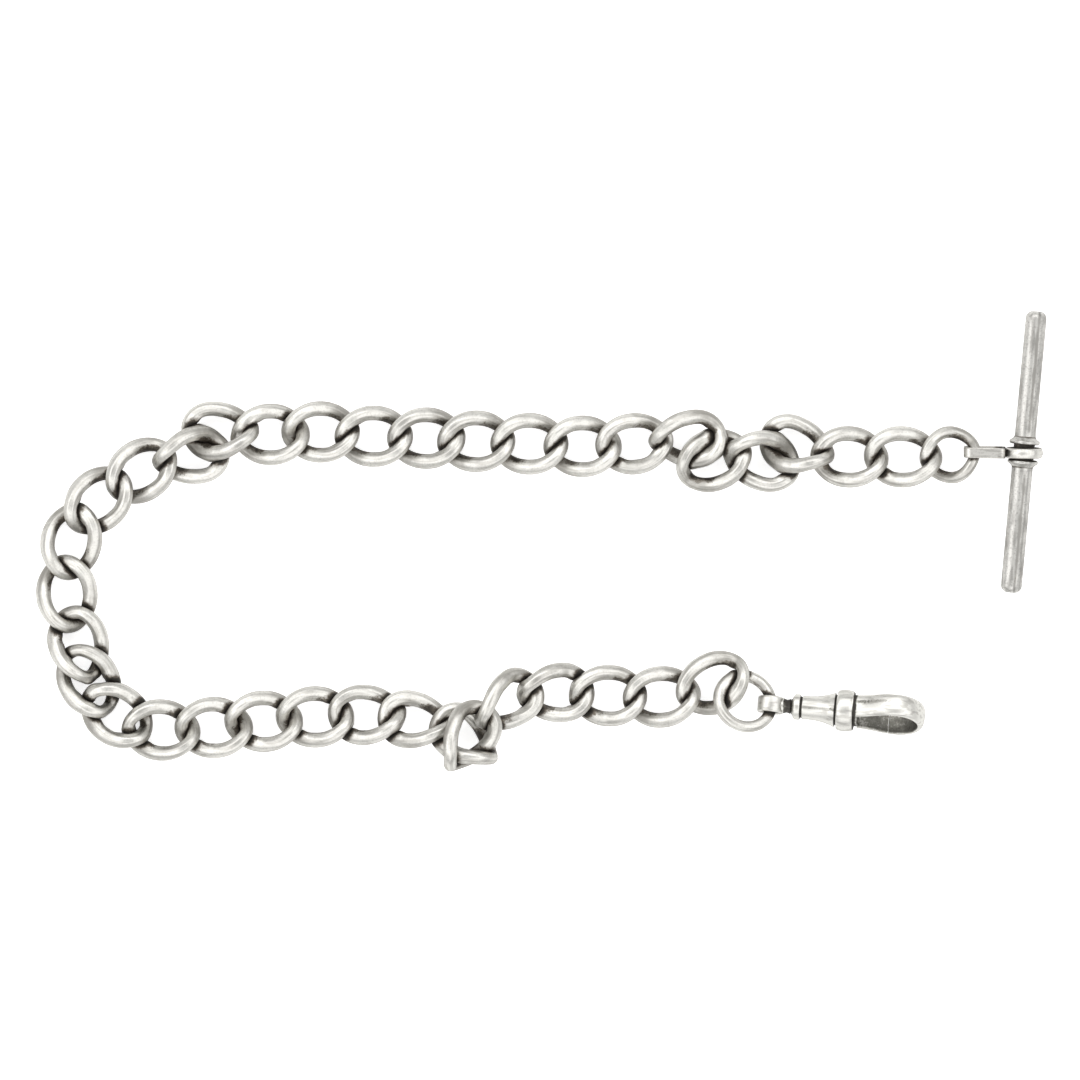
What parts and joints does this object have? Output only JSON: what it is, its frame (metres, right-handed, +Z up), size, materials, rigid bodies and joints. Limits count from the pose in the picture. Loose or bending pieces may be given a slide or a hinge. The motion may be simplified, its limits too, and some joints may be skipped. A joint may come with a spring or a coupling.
{
  "type": "pocket watch chain",
  "caption": "Silver curb chain for a pocket watch, with a bar at one end and a swivelling spring hook at the other, lying in a loop on a table.",
  "frame": {"origin": "on the table, under the middle of the outline of the chain as it lies", "axes": "+X along the chain towards the bar, +Y from the hook's side of the loop to the other side, +Z up from the table"},
  "size_m": [0.1615, 0.0737, 0.0106],
  "materials": {
    "silver_links": "satin old silver, dark where the links touch",
    "silver_bar": "satin old silver",
    "silver_hook": "worn bright silver with dark grooves"
  },
  "bodies": {
    "chain": {"link_01": "silver_links", "link_02": "silver_links", "link_03": "silver_links", "link_04": "silver_links", "link_05": "silver_links", "link_06": "silver_links", "link_07": "silver_links", "link_08": "silver_links", "link_09": "silver_links", "link_10": "silver_links", "link_11": "silver_links", "link_12": "silver_links", "link_13": "silver_links", "link_14": "silver_links", "link_15": "silver_links", "link_16": "silver_links", "link_17": "silver_links", "link_18": "silver_links", "link_19": "silver_links", "link_20": "silver_links", "link_21": "silver_links", "link_22": "silver_links", "link_23": "silver_links", "link_24": "silver_links", "link_25": "silver_links", "link_26": "silver_links", "link_27": "silver_links", "link_28": "silver_links", "link_29": "silver_links", "link_30": "silver_links", "link_31": "silver_links", "link_32": "silver_links", "link_33": "silver_links", "link_34": "silver_links", "link_35": "silver_links", "link_36": "silver_links", "link_37": "silver_links", "hook_ring": "silver_links", "bar_eye": "silver_bar", "swivel_eye": "silver_hook"},
    "bar": {"bar": "silver_bar"},
    "hook": {"hook_body": "silver_hook", "lever_pin": "silver_hook"},
    "lever": {"hook_lever": "silver_hook"}
  },
  "joints": [
    {"name": "bar_turns_in_eye", "type": "hinge", "parent": "chain", "child": "bar", "pos_m": [0.077, 0.0142, 0.00315], "axis": [0.0922, 0.994, 0.0593], "continuous": true},
    {"name": "hook_swivel", "type": "hinge", "parent": "chain", "child": "hook", "pos_m": [0.0485, -0.0272, 0.00415], "axis": [0.9938, -0.0765, 0.0802], "continuous": true},
    {"name": "lever_opens", "type": "hinge", "parent": "hook", "child": "lever", "pos_m": [0.0486, -0.02805, 0.00207], "axis": [-0.1011, -0.9221, 0.3734], "range_deg": [0, 25], "stiffness_Nm_per_rad": 0.002, "springref_deg": -20.05}
  ]
}
